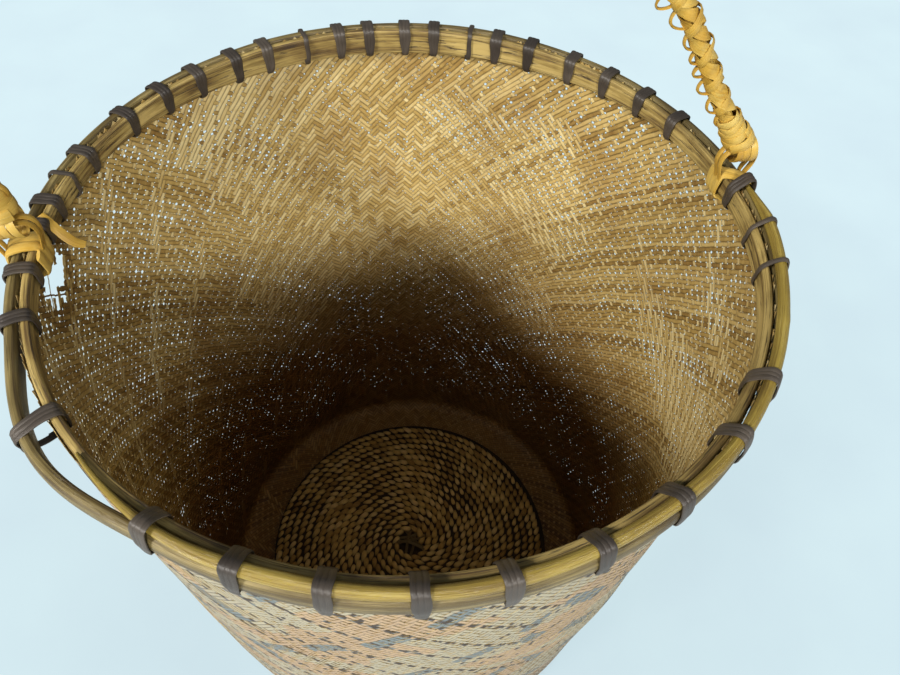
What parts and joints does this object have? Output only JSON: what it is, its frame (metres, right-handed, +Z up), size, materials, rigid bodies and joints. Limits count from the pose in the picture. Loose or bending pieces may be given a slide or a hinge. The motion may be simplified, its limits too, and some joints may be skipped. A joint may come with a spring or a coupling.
{
  "type": "plaited rattan basket",
  "caption": "Deep round basket: tapering plaited wall on a domed twined base, split-cane rim hoops lashed with dark strips, and a wrapped bail handle that swings on two tie loops.",
  "frame": {"origin": "centre of the foot, on the surface the basket stands on", "axes": "+Z up, +X along the chord between the two handle ties, towards the tie on the right of the picture"},
  "size_m": [0.2878, 0.2819, 0.4984],
  "materials": {
    "plaited_rattan": "matte split rattan, oblique twill plaiting",
    "twined_strip": "matte olive-brown twined strip",
    "brown_split_cane": "satin brown split cane",
    "golden_split_cane": "satin golden split cane",
    "yellow_cane": "glossy yellow cane skin",
    "dark_strip": "dull dark grey-brown split strip",
    "yellow_strip": "satin yellow-orange split rattan strip"
  },
  "bodies": {
    "basket": {"woven_wall": "plaited_rattan", "twined_base": "twined_strip", "rim_inner_hoop": "brown_split_cane", "rim_outer_hoop": "golden_split_cane", "rim_top_cane": "yellow_cane", "lashing_01": "dark_strip", "lashing_02": "dark_strip", "lashing_03": "dark_strip", "lashing_04": "dark_strip", "lashing_05": "dark_strip", "lashing_06": "dark_strip", "lashing_07": "dark_strip", "lashing_08": "dark_strip", "lashing_09": "dark_strip", "lashing_10": "dark_strip", "lashing_11": "dark_strip", "lashing_12": "dark_strip", "lashing_13": "dark_strip", "lashing_14": "dark_strip", "lashing_15": "dark_strip", "lashing_16": "dark_strip", "lashing_17": "dark_strip", "lashing_18": "dark_strip", "lashing_19": "dark_strip", "lashing_20": "dark_strip", "lashing_21": "dark_strip", "lashing_22": "dark_strip", "lashing_23": "dark_strip", "lashing_24": "dark_strip", "lashing_25": "dark_strip", "lashing_26": "dark_strip", "lashing_27": "dark_strip", "lashing_28": "dark_strip", "lashing_29": "dark_strip", "lashing_30": "dark_strip", "lashing_31": "dark_strip", "lashing_32": "dark_strip", "lashing_33": "dark_strip", "lashing_34": "dark_strip", "lashing_35": "dark_strip", "lashing_36": "dark_strip", "tie_loop_right": "yellow_strip", "tie_loop_left": "yellow_strip"},
    "handle": {"handle_core": "yellow_cane", "handle_wrap": "yellow_strip", "handle_knot_right": "yellow_strip", "handle_knot_left": "yellow_strip"}
  },
  "joints": [
    {"name": "handle_swing", "type": "hinge", "parent": "basket", "child": "handle", "pos_m": [0, 0.00935, 0.3425], "axis": [1, 0, 0], "range_deg": [-90, 90]}
  ]
}
